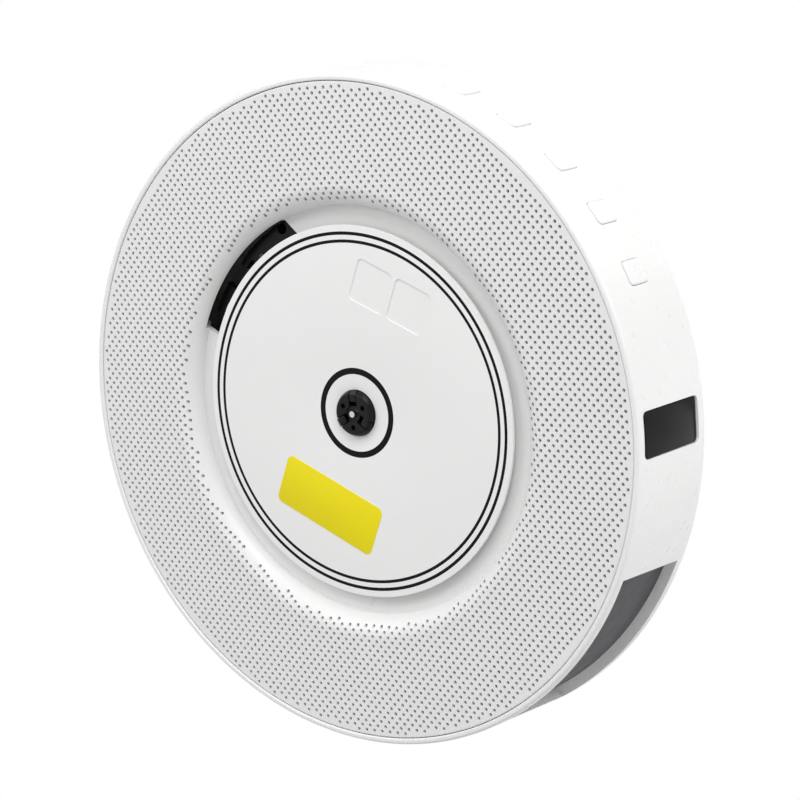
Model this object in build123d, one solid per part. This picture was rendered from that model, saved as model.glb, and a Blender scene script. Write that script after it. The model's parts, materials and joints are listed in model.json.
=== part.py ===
from build123d import *

import os
from math import asin, cos, degrees, hypot, pi, radians, sin, sqrt

# A wall mounted disc player, in millimetres. The origin is on the spindle axis at the wall plane.
# X runs to the right, Y into the wall and Z up, so the front plane of the unit is at Y = -DEPTH.
# A "depth" below is the distance behind the front plane, and an "angle" turns from +X towards +Z.

# ---- driving dimensions ----
DISC_RADIUS = 60.0                 # standard 120 mm disc, the scale of everything else
DISC_BORE_RADIUS = 7.5             # standard 15 mm centre hole
DEPTH = 37.0                       # front plane to wall plane
FRONT_RADIUS = 107.5               # outer radius of the side wall at the front
REAR_RADIUS = 108.6                # and at the rear: the wall has moulding draft
REAR_RIM_DEPTH = 36.0              # the housing ends here, 1 mm off the wall
INNER_RADIUS = 105.0               # inside of the side wall
RUN = 0.3                          # clearance between pieces that move past each other

GRILLE_RADIUS = 105.3
GRILLE_DEPTH = 0.3                 # the grille lies this far behind the rim
GRILLE_WALL = 1.8
HOLE_PITCH, HOLE_RADIUS = 2.215, 0.5
HOLE_SHARE = 4                     # one hole in four is cut, both ways, of about 3,900 in the moulding
HOLE_INNER, HOLE_OUTER = 74.5, 102.2
LIP_START_RADIUS = 73.0            # the flat of the grille ends here
LIP_ROLL = 7.0                     # radius of the rolled lip
WELL_DEPTH = GRILLE_DEPTH + LIP_ROLL - 0.3

CARD_FACE_DEPTH = 4.2
CARD_THICK = 1.0
CARD_GAP = 0.1                     # the card lies this far above the platter's seat

WINDOW_ANGLE = -47.6               # display window, on the lower right of the side wall
WINDOW_SPAN = 7.7
WINDOW_NEAR, WINDOW_FAR = 2.9, 32.3

BUTTON_COUNT = 5
BUTTON_PITCH = 10.87               # degrees between neighbours
BUTTON_ROW_ANGLE = -0.5            # middle of the row, at the right of the unit
BUTTON_TALL, BUTTON_WIDE = 7.8, 9.4
BUTTON_DEPTH = 17.7
BUTTON_PROUD = 0.45

SEAT_HALF = 33.2                   # recess for a desk stand, at the bottom
SEAT_NEAR, SEAT_FAR = 2.6, 32.6

DECK_DEPTH, DECK_THICK = 9.2, 1.8
LOW_DECK_DEPTH = 12.2              # the two lower dampers sit in cups, clear of the well's floor
DAMPERS = ((-12.0, 57.0, DECK_DEPTH), (27.0, -26.0, LOW_DECK_DEPTH), (-27.0, -26.0, LOW_DECK_DEPTH))
SLED_HOME = 24.0                   # radius of the lens when the sled is home
SLED_TRAVEL = 34.0
GEAR_MODULE = 0.6

SPEAKER_ANGLES = (42.0, 138.0)
SPEAKER_RING = 88.8                # distance of a speaker's centre from the spindle axis
SPEAKER_RADIUS = 15.7

BOSS_ANGLES = (62.0, 118.0, 163.0, 217.0, 299.0, 324.0)
BOSS_RING = 99.0
KEYHOLE_X, KEYHOLE_Z = 30.0, 38.0
KEYHOLE_HEAD, KEYHOLE_SLOT, KEYHOLE_RISE = 4.5, 2.3, 9.0


# ---- helpers ----
def y_of(depth):
    return depth - DEPTH


def spun(*points):
    """A solid of revolution about the spindle axis, from (radius, depth) points."""
    outline = Polyline(*[(radius, y_of(depth)) for radius, depth in points], close=True)
    return revolve(make_face(outline), Axis.Y)


def tube(inner, outer, near, far):
    return spun((inner, near), (outer, near), (outer, far), (inner, far))


def plate(outline, near, far):
    """A face drawn in X and Z, made solid from one depth to another."""
    plane = Plane(origin=(0, y_of(near), 0), x_dir=(1, 0, 0), z_dir=(0, -1, 0))
    return extrude(plane * outline, near - far)


def puck(x, z, radius, near, far):
    return plate(Pos(x, z) * Circle(radius), near, far)


def block(x, z, wide, tall, near, far, corner=0.0):
    face = RectangleRounded(wide, tall, corner) if corner else Rectangle(wide, tall)
    return plate(Pos(x, z) * face, near, far)


def polar(radius, angle):
    return radius * cos(radians(angle)), radius * sin(radians(angle))


def wedge(start, end, near, far, reach=220.0):
    """The part of space between two angles."""
    corners = [polar(reach, angle) for angle in (start, (start + end) / 2, end)]
    return plate(make_face(Polyline((0, 0), *corners, close=True)), near, far)


def outward(angle, radius, depth):
    """A plane that faces outwards: its x is the depth, its y runs along the wall."""
    x, z = polar(radius, angle)
    facing = (cos(radians(angle)), 0, sin(radians(angle)))
    return Plane(origin=(x, y_of(depth), z), x_dir=(0, 1, 0), z_dir=facing)


def along_z(x, depth, radius, low, high):
    """A round bar that runs up the unit."""
    plane = Plane(origin=(x, y_of(depth), low), x_dir=(1, 0, 0), z_dir=(0, 0, 1))
    return extrude(plane * Circle(radius), high - low)


def cog_outline(teeth, module, phase=0.0):
    """Gear teeth with straight flanks and running backlash."""
    pitch_radius = module * teeth / 2
    tip, root = pitch_radius + 0.9 * module, pitch_radius - 1.2 * module
    step = 360 / teeth
    points = []
    for tooth in range(teeth):
        middle = phase + tooth * step
        for radius, share in ((root, -0.30), (tip, -0.11), (tip, 0.11), (root, 0.30)):
            points.append(polar(radius, middle + share * step))
    return make_face(Polyline(*points, close=True))


def pan_screw(x, z, head, shank, length, depth, thick=1.4):
    """A screw driven from the rear: the head's top is nearest the wall."""
    screw = puck(x, z, shank, depth - length, depth) + puck(x, z, head, depth, depth + thick)
    for wide, tall in ((head * 1.1, 0.7), (0.7, head * 1.1)):
        screw -= block(x, z, wide, tall, depth + thick - 0.6, depth + thick + 1)
    return screw


# ---- casing ----
def side_wall_radius(depth):
    return FRONT_RADIUS + (REAR_RADIUS - FRONT_RADIUS) * depth / REAR_RIM_DEPTH


def seat_cut(near, far):
    return block(0, -108, 2 * SEAT_HALF, 40, near, far)


def button_angle(index):
    return BUTTON_ROW_ANGLE + (index - (BUTTON_COUNT - 1) / 2) * BUTTON_PITCH


def screw_bosses():
    bosses = Part()
    for angle in BOSS_ANGLES:
        x, z = polar(BOSS_RING, angle)
        rib = plate(Rot(0, 0, angle) * Pos(BOSS_RING + 3.4, 0) * Rectangle(6.8, 2.0), 12, 33.4)
        bosses += puck(x, z, 3.6, 9, 33.8) + rib
    return bosses & tube(80, INNER_RADIUS + 0.4, 0, 40)


def window_block(grow, low, high):
    """A rounded block through the wall at the display window."""
    middle = (WINDOW_NEAR + WINDOW_FAR) / 2
    tall = 2 * side_wall_radius(middle) * sin(radians(WINDOW_SPAN / 2))
    face = RectangleRounded(WINDOW_FAR - WINDOW_NEAR + 2 * grow, tall + 2 * grow, 1.6)
    return extrude(outward(WINDOW_ANGLE, low, middle) * face, high - low)


def housing():
    seat = GRILLE_RADIUS + 0.35
    section = make_face(Pos(0, -DEPTH) * Polyline(
        (seat, 0), (FRONT_RADIUS, 0), (REAR_RADIUS, REAR_RIM_DEPTH), (INNER_RADIUS, REAR_RIM_DEPTH),
        (INNER_RADIUS, 2.2), (seat, 2.2), close=True))
    section = fillet([corner for corner in section.vertices() if corner.X > FRONT_RADIUS - 0.1], 1.0)
    section = fillet([corner for corner in section.vertices()
                      if corner.X < seat + 0.1 and corner.Y < 0.1 - DEPTH], 0.25)
    wall = revolve(section, Axis.Y) + screw_bosses()
    for angle in BOSS_ANGLES:
        wall -= puck(*polar(BOSS_RING, angle), 1.3, 16, 40)
    # openings for the display window, the buttons, the stand recess and the two jacks
    wall -= window_block(-1.1, INNER_RADIUS - 3, REAR_RADIUS + 2)
    wall -= window_block(0.0, WINDOW_SEAT, REAR_RADIUS + 2) & tube(WINDOW_SEAT, REAR_RADIUS + 4, 0, 36)
    for index in range(BUTTON_COUNT):
        hole = RectangleRounded(BUTTON_WIDE + 2 * RUN, BUTTON_TALL + 2 * RUN, 1.6)
        wall -= extrude(outward(button_angle(index), INNER_RADIUS - 2, BUTTON_DEPTH) * hole, 8)
    wall -= seat_cut(SEAT_NEAR, SEAT_FAR) & tube(INNER_RADIUS - 0.01, REAR_RADIUS + 2, 0, 40)
    for z, radius in ((DC_Z, DC_BODY), (AUDIO_Z, AUDIO_BODY)):
        wall -= extrude(leftward(-98, z) * Circle(radius), 14)
    return wall


def leftward(x, z):
    """A plane that faces the left side at the depth of the two jacks."""
    return Plane(origin=(x, y_of(JACK_DEPTH), z), x_dir=(0, 1, 0), z_dir=(-1, 0, 0))


def front_grille():
    """The ring over the speakers. Its inner edge rolls down to the floor of the well."""
    outer, start, near = GRILLE_RADIUS, LIP_START_RADIUS, y_of(GRILLE_DEPTH)
    far, inner_roll = near + GRILLE_WALL, LIP_ROLL - GRILLE_WALL
    centre = (start, near + LIP_ROLL)
    floor = y_of(WELL_DEPTH)
    drop = asin((centre[1] - floor) / LIP_ROLL)
    inner_drop = asin((centre[1] - floor) / inner_roll)
    face_end = (start - LIP_ROLL * cos(drop), floor)
    back_end = (start - inner_roll * cos(inner_drop), floor)
    with_arc = lambda radius, share: (start - radius * sin(share), centre[1] - radius * cos(share))
    section = make_face(Wire([
        Line((outer, near + 0.4), (outer - 0.4, near)).edge(),
        Line((outer - 0.4, near), (start, near)).edge(),
        ThreePointArc((start, near), with_arc(LIP_ROLL, pi / 4), face_end).edge(),
        Line(face_end, back_end).edge(),
        ThreePointArc(back_end, with_arc(inner_roll, pi / 4), (start, far)).edge(),
        Line((start, far), (outer, far)).edge(),
        Line((outer, far), (outer, near + 0.4)).edge(),
    ]))
    return revolve(section, Axis.Y) - perforations()


def perforations():
    """The grille's holes: a square lattice, upright on the wall, between two radii."""
    step = HOLE_PITCH * HOLE_SHARE
    reach = int(HOLE_OUTER / step)
    lattice = [(column * step, row * step) for column in range(-reach, reach + 1)
               for row in range(-reach, reach + 1)]
    holes = Sketch() + [Pos(x, z) * Circle(HOLE_RADIUS) for x, z in lattice
                        if HOLE_INNER < hypot(x, z) < HOLE_OUTER]
    return plate(holes, GRILLE_DEPTH - 1, GRILLE_DEPTH + GRILLE_WALL + 1)


def pickup_outline(grow=0.0):
    """The opening over the pickup: straight on the right, radial on the left, round at the spindle."""
    right = 27.2 + grow
    top_left, low_left = polar(68.5 + grow, 110.5), polar(34.0, 110.5)
    outline = make_face(Polyline(
        (right, 6), (right, sqrt(68.5 ** 2 - right ** 2)), polar(72, 89), (top_left[0] - grow, top_left[1]),
        (low_left[0] - 4 - grow, low_left[1] - 4), (-22 - grow, 6), close=True))
    return outline + Circle(22.5 + grow)


def disc_well():
    """The floor of the well, open over the spindle and the pickup."""
    floor = puck(0, 0, 71.0, WELL_DEPTH, WELL_DEPTH + 1.8)
    floor -= plate(pickup_outline() & Circle(68.5), WELL_DEPTH - 1, WELL_DEPTH + 5)
    # a skirt and a round rib below the floor stiffen it
    floor += tube(69.0, 71.0, WELL_DEPTH + 1.8, WELL_DEPTH + 4.0)
    rib = tube(54.0, 55.6, WELL_DEPTH + 1.8, WELL_DEPTH + 3.4)
    return floor + (rib & block(0, -50, 140, 100, 0, 20))


def dust_screen():
    return tube(74.0, 102.8, GRILLE_DEPTH + GRILLE_WALL, GRILLE_DEPTH + GRILLE_WALL + 0.4)


def keyhole(x, z, near, far):
    head = Pos(x, z) * Circle(KEYHOLE_HEAD)
    slot = Pos(x, z + KEYHOLE_RISE / 2) * SlotCenterToCenter(KEYHOLE_RISE, 2 * KEYHOLE_SLOT, rotation=90)
    return plate(head + slot, near, far)


def back_cover():
    inset = INNER_RADIUS - 0.25
    land = LAND_RADIUS
    cover = spun((0, 33.8), (inset, 33.8), (inset, 35.7), (inset - 0.3, 36.0), (land + 0.5, 36.0),
                 (land, 36.4), (land - 0.4, 37.0), (0, 37.0))
    for angle in BOSS_ANGLES:
        x, z = polar(BOSS_RING, angle)
        cover -= puck(x, z, 1.7, 33, 38) + puck(x, z, 3.2, 34.9, 38)
    for side in (-1, 1):
        cover -= keyhole(side * KEYHOLE_X, KEYHOLE_Z, 33, 38)
        # a hollow behind each keyhole takes the screw's head
        middle = Pos(side * KEYHOLE_X, KEYHOLE_Z + KEYHOLE_RISE / 2)
        outside = middle * SlotCenterToCenter(KEYHOLE_RISE, 15.0, rotation=90)
        inside = middle * SlotCenterToCenter(KEYHOLE_RISE, 11.5, rotation=90)
        cover += plate(outside, 28.6, 33.8) - plate(inside, 30.0, 34.0)
    # air slots behind the boards
    for row in range(7):
        slot = Pos(0, -62 - 4.4 * row) * SlotOverall(46 - 3 * row, 2.0)
        cover -= plate(slot, 33, 38)
    for x, z, deck in DAMPERS:
        cover += puck(x, z, 3.6, deck + 3.4, 34) - puck(x, z, 1.1, deck, 30)
    for x, z in board_screw_places():
        cover += puck(x, z, 3.0, BOARD_DEPTH + 1.6, 34) - puck(x, z, 1.0, BOARD_DEPTH, 32)
    return cover


def wall_pads():
    """Four rubber pads between the casing's edge and the wall."""
    pads = Part()
    for angle in (45, 135, 225, 315):
        pads += puck(*polar(90, angle), 6.0, 36.0, DEPTH)
    return pads


def cover_screws():
    screws = Part()
    for angle in BOSS_ANGLES:
        screws += pan_screw(*polar(BOSS_RING, angle), 2.6, 1.28, 12, 34.9, 1.0)
    return screws


# ---- disc drive ----
DECK_BACK = DECK_DEPTH + DECK_THICK
ROD_DEPTH, ROD_RADIUS = 14.4, 1.5
RODS = ((19.0, 4.4, 63.0), (-18.2, 4.4, 54.2))     # x and the two ends of each guide rod
RACK_X = 15.8
PINION_TEETH, WHEEL_TEETH, MOTOR_TEETH = 20, 34, 12
PINION_RADIUS = GEAR_MODULE * PINION_TEETH / 2
IDLER_X, IDLER_Z = -(RACK_X + PINION_RADIUS), 16.0
SLED_MOTOR_ANGLE = 235.0           # where the motor's pinion meets the wheel, seen from its axle
MESH = GEAR_MODULE * (WHEEL_TEETH + MOTOR_TEETH) / 2
SLED_MOTOR = (IDLER_X + MESH * cos(radians(SLED_MOTOR_ANGLE)),
              IDLER_Z + MESH * sin(radians(SLED_MOTOR_ANGLE)))
PINION_NEAR, PINION_FAR = 17.6, 20.4
WHEEL_NEAR, WHEEL_FAR = 20.7, 22.3
CLAW_ANGLE, CLAW_WIDE = 40.0, 2.6


def turntable():
    """Platter and hub in one moulding, with pockets for the three claws."""
    seat = CARD_FACE_DEPTH + CARD_THICK + CARD_GAP
    body = spun((0, 2.9), (3.0, 2.9), (3.0, 2.6), (5.6, 2.2), (6.4, 2.4), (7.2, 3.3), (7.2, seat),
                (15.4, seat), (15.4, seat + 1.0), (14.8, seat + 1.6), (8.4, seat + 1.6), (8.4, 8.4),
                (5.0, 8.4), (5.0, 9.6), (0, 9.6))
    for index in range(3):
        pocket = Rot(0, 0, CLAW_ANGLE + 120 * index) * Pos(6.0, 0) * Rectangle(5.4, CLAW_WIDE + 2 * 0.25)
        body -= plate(pocket, 1.0, seat - 0.2)
        well = Rot(0, 0, CLAW_ANGLE + 60 + 120 * index) * Pos(4.9, 0) * Circle(0.9)
        body -= plate(well, 1.0, 3.6)
    return body - puck(0, 0, 1.0, 0, 12)


def hub_claw(index):
    """One sprung claw: it slides inwards as a disc is pressed on."""
    seat = CARD_FACE_DEPTH + CARD_THICK
    outline = Polyline((4.3, 2.5), (6.3, 2.3), (7.25, 3.1), (7.25, 3.5), (6.9, 4.1), (6.9, seat - 0.5),
                       (4.3, seat - 0.5), close=True)
    section = make_face(Pos(0, -DEPTH) * outline)
    claw = extrude(section, CLAW_WIDE / 2, both=True)
    return Rot(0, -(CLAW_ANGLE + 120 * index), 0) * claw


def spindle_shaft():
    return puck(0, 0, 1.0, 1.7, 13.4) + puck(0, 0, 0.9, 13.4, 22.6)


def transport_card():
    card = puck(0, 0, DISC_RADIUS, CARD_FACE_DEPTH, CARD_FACE_DEPTH + CARD_THICK)
    return card - puck(0, 0, DISC_BORE_RADIUS, 0, 10)


def card_sticker():
    """A blank yellow patch, turned with the card."""
    patch = Pos(*STICKER_PLACE) * Rot(0, 0, STICKER_TURN) * RectangleRounded(39.4, 16.0, 1.8)
    return plate(patch, CARD_FACE_DEPTH - 0.1, CARD_FACE_DEPTH)


STICKER_PLACE = (-32.35, -10.97)
STICKER_TURN = -69.9


def mechanism_chassis():
    """The black deck under the disc: plate, cups and ear for the dampers, walls for the rods."""
    outline = (Pos(4.3, 33.0) * RectangleRounded(44.4, 66.4, 3.0)
               + Pos(-2.6, -9.5) * RectangleRounded(71.0, 47.0, 5.0)
               + Pos(-8.0, 30.0) * RectangleRounded(32.0, 52.0, 3.0)
               + Pos(-12.0, 57.0) * Circle(6.2) + Pos(-12.0, 52.0) * Rectangle(12.4, 10))
    deck = plate(outline & Circle(66.5), DECK_DEPTH, DECK_BACK)
    for x, z, near in DAMPERS[1:]:
        deck += puck(x, z, 6.4, DECK_DEPTH, near + DECK_THICK)
        deck -= puck(x, z, 5.0, 0, near)
    for x, z, near in DAMPERS:
        deck -= puck(x, z, 3.2, 0, 20)
    # the slot of the pickup, the hole round the spindle and the gap beside the visible damper
    deck -= plate(Pos(0, 40.9) * RectangleRounded(13.2, 45.4, 2.0), 0, 14)
    deck -= puck(0, 0, 9.6, 0, 14)
    deck -= block(-2.7, 63.0, 8.6, 12.0, 0, 14, 1.0)
    deck -= puck(22.6, 60.6, 1.9, 0, 14)
    deck += tube(9.6, 11.6, DECK_BACK, DECK_BACK + 1.2)
    for x, low, high in RODS:
        for z in (low + 1.2, high - 1.2):
            deck += block(x, z, 5.2, 3.0, DECK_BACK, ROD_DEPTH + ROD_RADIUS + 0.7)
        deck -= along_z(x, ROD_DEPTH, ROD_RADIUS, low, high)
    return deck


def deck_rails():
    """Raised trim along the slot of the pickup."""
    rails = Part()
    for x, low, high in ((9.6, 20.0, 62.0), (-9.2, 20.0, 47.0)):
        rails += block(x, (low + high) / 2, 2.0, high - low, DECK_DEPTH - 0.4, DECK_DEPTH, 0.9)
    return rails


def dampers():
    """Rubber bushes that carry the deck: each grips it in a groove and stands on its post."""
    rubber = Part()
    for x, z, deck in DAMPERS:
        profile = ((1.4, -1.8), (3.9, -1.8), (4.4, -1.3), (4.4, 0.0), (3.2, 0.0), (3.2, 1.8), (4.4, 1.8),
                   (4.4, 3.0), (4.0, 3.4), (1.4, 3.4))
        rubber += Pos(x, 0, z) * spun(*[(radius, deck + depth) for radius, depth in profile])
    return rubber


def damper_screws():
    """Shoulder screws through the dampers into the posts of the back cover."""
    screws = Part()
    for x, z, deck in DAMPERS:
        screws += puck(x, z, 3.2, deck - 2.9, deck - 1.8) + puck(x, z, 1.35, deck - 1.8, deck + 3.4)
        screws += puck(x, z, 1.05, deck + 3.4, deck + 14)
        for wide, tall in ((3.4, 0.7), (0.7, 3.4)):
            screws -= block(x, z, wide, tall, deck - 4, deck - 2.4)
    return screws


def guide_rods():
    rods = Part()
    for x, low, high in RODS:
        rods += along_z(x, ROD_DEPTH, ROD_RADIUS, low, high)
    return rods


def pickup_sled():
    """The carriage under the deck: a body hollowed round the motor, a nose with the lens, two guides."""
    far = 19.8
    near = DECK_BACK + 0.4
    body = block(0, 13.0, 27.0, 10.0, near, far) + block(1.3, 23.6, 16.2, 13.6, near, far)
    body += block(0, SLED_HOME, 11.2, 10.2, DECK_DEPTH - 0.9, DECK_BACK + 1)
    body += block(17.0, 17.0, 11.0, 17.0, near, ROD_DEPTH + 2.7)
    for depth in (near, ROD_DEPTH + ROD_RADIUS + 0.06):
        body += block(-16.6, 12.6, 7.4, 8.0, depth, depth + 1.0)
    body -= along_z(RODS[0][0], ROD_DEPTH, ROD_RADIUS + 0.05, 0, 80)
    body -= puck(0, 0, 12.9, 0, 30)
    body -= puck(0, SLED_HOME, 5.0, 0, 12.4)
    return body


def sled_rack():
    """A toothed rail on the sled, in mesh with the pinion at every place of its travel."""
    step = pi * GEAR_MODULE
    tip, root, back = -RACK_X - 0.9 * GEAR_MODULE, -RACK_X + 1.2 * GEAR_MODULE, -RACK_X + 2.3
    count = int(SLED_TRAVEL / step) + 3
    first = IDLER_Z + 1.5 * step - step * count
    points = [(back, first - step / 2), (root, first - step / 2)]
    for tooth in range(count):
        middle = first + tooth * step
        for x, share in ((root, -0.30), (tip, -0.11), (tip, 0.11), (root, 0.30)):
            points.append((x, middle + share * step))
    points += [(root, first + (count - 0.5) * step), (back, first + (count - 0.5) * step)]
    return plate(make_face(Polyline(*points, close=True)), PINION_NEAR + 0.1, PINION_FAR - 0.1)


def lens_holder():
    return puck(0, SLED_HOME, 4.4, 7.9, 11.4) - puck(0, SLED_HOME, 3.0, 0, 9.6)


def lens_glass():
    dome = spun((0, 7.8), (1.2, 7.9), (2.2, 8.25), (2.9, 8.8), (2.9, 9.6), (0, 9.6))
    return Pos(0, 0, SLED_HOME) * dome


def spindle_motor():
    return spun((1.1, 12.2), (11.6, 12.2), (12.0, 12.6), (12.0, 21.6), (11.2, 22.4), (3.4, 22.4), (3.4, 23.0),
                (1.1, 23.0))


def sled_motor():
    x, z = SLED_MOTOR
    can = puck(x, z, 7.2, DECK_BACK, 19.8) + puck(x, z, 2.6, 19.8, 20.3)
    return can - puck(x, z, 0.8, 12, 24)


def motor_pinion():
    x, z = SLED_MOTOR
    phase = SLED_MOTOR_ANGLE + 180 + 180 / MOTOR_TEETH
    cog = plate(Pos(x, z) * cog_outline(MOTOR_TEETH, GEAR_MODULE, phase), WHEEL_NEAR, WHEEL_FAR)
    return cog + puck(x, z, 0.75, 14, WHEEL_FAR + 0.3)


def idler_gear():
    """A wheel and a pinion in one moulding: it gears the motor down to the rack."""
    centre = Pos(IDLER_X, IDLER_Z)
    wheel = plate(centre * cog_outline(WHEEL_TEETH, GEAR_MODULE, SLED_MOTOR_ANGLE), WHEEL_NEAR, WHEEL_FAR)
    # a gap of the rack lies level with the axle, so a tooth of the pinion faces it
    pinion = plate(centre * cog_outline(PINION_TEETH, GEAR_MODULE), PINION_NEAR, WHEEL_NEAR)
    web = puck(IDLER_X, IDLER_Z, 8.4, WHEEL_FAR - 0.5, 30) - puck(IDLER_X, IDLER_Z, 3.2, 0, 40)
    return wheel + pinion - web - puck(IDLER_X, IDLER_Z, 1.05, 10, 30)


def idler_axle():
    return puck(IDLER_X, IDLER_Z, 1.0, DECK_BACK, 23.2) + puck(IDLER_X, IDLER_Z, 2.0, 22.6, 23.2)


# ---- speakers ----
def at_speakers(make):
    both = Part()
    for angle in SPEAKER_ANGLES:
        x, z = polar(SPEAKER_RING, angle)
        both += Pos(x, 0, z) * make()
    return both


def speaker_gaskets():
    return at_speakers(lambda: tube(SPEAKER_RADIUS - 2.4, SPEAKER_RADIUS, 2.5, 3.6))


def speaker_frames():
    rim = SPEAKER_RADIUS
    outline = ((rim - 3.4, 3.6), (rim, 3.6), (rim, 4.8), (rim - 1.4, 4.8), (11.2, 14.2), (10.6, 15.4),
               (4.4, 15.4), (4.4, 14.4), (9.8, 14.4), (10.2, 13.6), (rim - 2.8, 5.6), (rim - 3.4, 4.8))

    def frame():
        basket = spun(*outline)
        for index in range(6):
            window = Rot(0, 0, 60 * index) * Pos(12.6, 0) * Rectangle(5.4, 5.8)
            basket -= plate(window, 6.4, 12.6)
        return basket
    return at_speakers(frame)


def speaker_surrounds():
    outline = ((10.9, 3.9), (11.5, 3.2), (12.1, 3.8), (12.3, 3.6), (12.3, 4.3), (12.1, 4.4), (11.5, 3.8),
               (11.1, 4.3), (10.9, 4.3))
    return at_speakers(lambda: spun(*outline))


def speaker_cone(index):
    x, z = polar(SPEAKER_RING, SPEAKER_ANGLES[index])
    cone = spun((0, 7.3), (2.4, 7.6), (4.0, 8.5), (4.3, 9.2), (10.3, 4.6), (10.6, 4.6), (10.6, 5.0),
                (4.7, 9.8), (4.0, 10.0), (4.0, 13.0), (3.7, 13.0), (3.7, 9.4), (2.2, 8.1), (0, 7.8))
    return Pos(x, 0, z) * cone


def speaker_magnets():
    outline = ((0, 11.4), (3.1, 11.4), (3.1, 19.4), (4.9, 19.4), (4.9, 15.4), (10.4, 15.4), (10.8, 15.8),
               (10.8, 21.4), (10.4, 21.8), (0, 21.8))
    return at_speakers(lambda: spun(*outline))


# ---- controls and display ----
def button_cap(index):
    """A cap whose face follows the round side wall, with a flange inside that keeps it in."""
    angle = button_angle(index)
    face = RectangleRounded(BUTTON_WIDE, BUTTON_TALL, 1.4)
    flange = RectangleRounded(BUTTON_WIDE + 2.4, BUTTON_TALL + 2.4, 1.4)
    top = side_wall_radius(BUTTON_DEPTH) + BUTTON_PROUD
    body = extrude(outward(angle, 90, BUTTON_DEPTH) * face, 30) & tube(INNER_RADIUS - 1.4, top, 0, 36)
    ledge = extrude(outward(angle, 90, BUTTON_DEPTH) * flange, 30)
    ledge &= tube(INNER_RADIUS - 1.4, INNER_RADIUS - RUN, 0, 36)
    foot = SWITCH_TOP + 0.7
    stem = extrude(outward(angle, foot, BUTTON_DEPTH) * Circle(1.6), INNER_RADIUS - foot - 0.5)
    return body + ledge + stem


SWITCH_TOP = 100.2
BOARD_ARC_RADIUS = 96.0
WINDOW_SEAT = 105.9


def switch_plunger(index):
    return extrude(outward(button_angle(index), SWITCH_TOP - 0.9, BUTTON_DEPTH) * Circle(1.7), 1.6)


def tact_switches():
    switches = Part()
    for index in range(BUTTON_COUNT):
        body = extrude(outward(button_angle(index), BOARD_ARC_RADIUS + 0.3, BUTTON_DEPTH)
                       * RectangleRounded(6.2, 6.2, 0.5), SWITCH_TOP - BOARD_ARC_RADIUS - 0.3)
        pocket = extrude(outward(button_angle(index), SWITCH_TOP - 1.9, BUTTON_DEPTH) * Circle(2.0), 3)
        switches += body - pocket
    return switches


def button_board():
    reach = button_angle(BUTTON_COUNT - 1) - BUTTON_ROW_ANGLE + 4.2
    strip = tube(BOARD_ARC_RADIUS - 1.0, BOARD_ARC_RADIUS, 12.4, 23.0)
    return strip & wedge(BUTTON_ROW_ANGLE - reach, BUTTON_ROW_ANGLE + reach, 0, 40)


def bracket(middle, reach, back_radius, near, far):
    """A curved tray on two feet that stand on the inside of the side wall."""
    start, end = middle - reach, middle + reach
    zone = wedge(start, end, 0, 40)
    tray = tube(back_radius, back_radius + 1.9, near, far) & zone
    feet = tube(back_radius, INNER_RADIUS, near, far) & zone
    return tray + (feet - wedge(start + 1.4, end - 1.4, 0, 40))


def button_carrier():
    reach = button_angle(BUTTON_COUNT - 1) - BUTTON_ROW_ANGLE + 6.4
    return bracket(BUTTON_ROW_ANGLE, reach, BOARD_ARC_RADIUS - 2.9, 11.0, 24.4)


def display_window():
    lens = window_block(-0.12, WINDOW_SEAT, REAR_RADIUS + 2)
    return lens & spun((WINDOW_SEAT, 0), (FRONT_RADIUS - 0.15, 0), (REAR_RADIUS - 0.15, REAR_RIM_DEPTH),
                       (WINDOW_SEAT, REAR_RIM_DEPTH))


def display_bracket():
    return bracket(WINDOW_ANGLE, 6.4, 95.8, 4.4, 31.0)


def display_module():
    """The lit digit block behind the window, on its own small board."""
    plane = outward(WINDOW_ANGLE, 98.0, (WINDOW_NEAR + WINDOW_FAR) / 2)
    board = extrude(plane * Rectangle(28.4, 15.0), 1.2)
    digits = extrude(outward(WINDOW_ANGLE, 99.2, (WINDOW_NEAR + WINDOW_FAR) / 2) * Rectangle(25.0, 11.0), 5.2)
    return board + digits


def stand_recess():
    """The dark floor of the recess at the bottom, which takes a desk stand."""
    half = degrees(asin(SEAT_HALF / INNER_RADIUS)) + 1.2
    plate_ring = tube(INNER_RADIUS - 1.8, INNER_RADIUS, SEAT_NEAR, 33.4)
    return plate_ring & wedge(-90 - half, -90 + half, 0, 40)


# ---- boards and jacks ----
BOARD_DEPTH = 25.6
BOARD_X, BOARD_Z, BOARD_WIDE, BOARD_TALL = -63.0, -14.0, 62.0, 64.0
JACK_DEPTH = 19.6
DC_Z, AUDIO_Z = 6.0, -10.0
DC_BODY, AUDIO_BODY = 4.4, 3.2
LAND_RADIUS = 72.0


def board_screw_places():
    across, up = BOARD_WIDE / 2 - 4, BOARD_TALL / 2 - 4
    return [(BOARD_X + side * across, BOARD_Z + level * up) for side in (-1, 1) for level in (-1, 1)]


def main_board():
    board = block(BOARD_X, BOARD_Z, BOARD_WIDE, BOARD_TALL, BOARD_DEPTH, BOARD_DEPTH + 1.6, 2.0)
    board &= puck(0, 0, 103.5, 0, 40)
    for x, z in board_screw_places():
        board -= puck(x, z, 1.5, 0, 40)
    return board


def board_parts():
    """Chips and capacitors on the main board."""
    top = BOARD_DEPTH
    parts = block(-52, -20, 12, 12, top - 1.6, top) + block(-70, -30, 9, 7, top - 1.8, top)
    parts += block(-47, -37, 14, 5, top - 5.5, top)
    for x, z in ((-80, -36), (-72, -40), (-64, -10), (-38, -8)):
        parts += puck(x, z, 3.1, top - 8.0, top)
    return parts


def jack(z, body, bore, length):
    """A socket on the main board: a round nose in the side wall and a square case behind it."""
    face = -INNER_RADIUS - 2.0
    nose = extrude(leftward(face, z) * Circle(body - 0.15), -5.2)
    case = extrude(leftward(face + 4.2, z) * Rectangle(12.0, 2 * body + 1), 4.2 - length)
    return nose + case - extrude(leftward(face, z) * Circle(bore), 2 - length)


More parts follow.
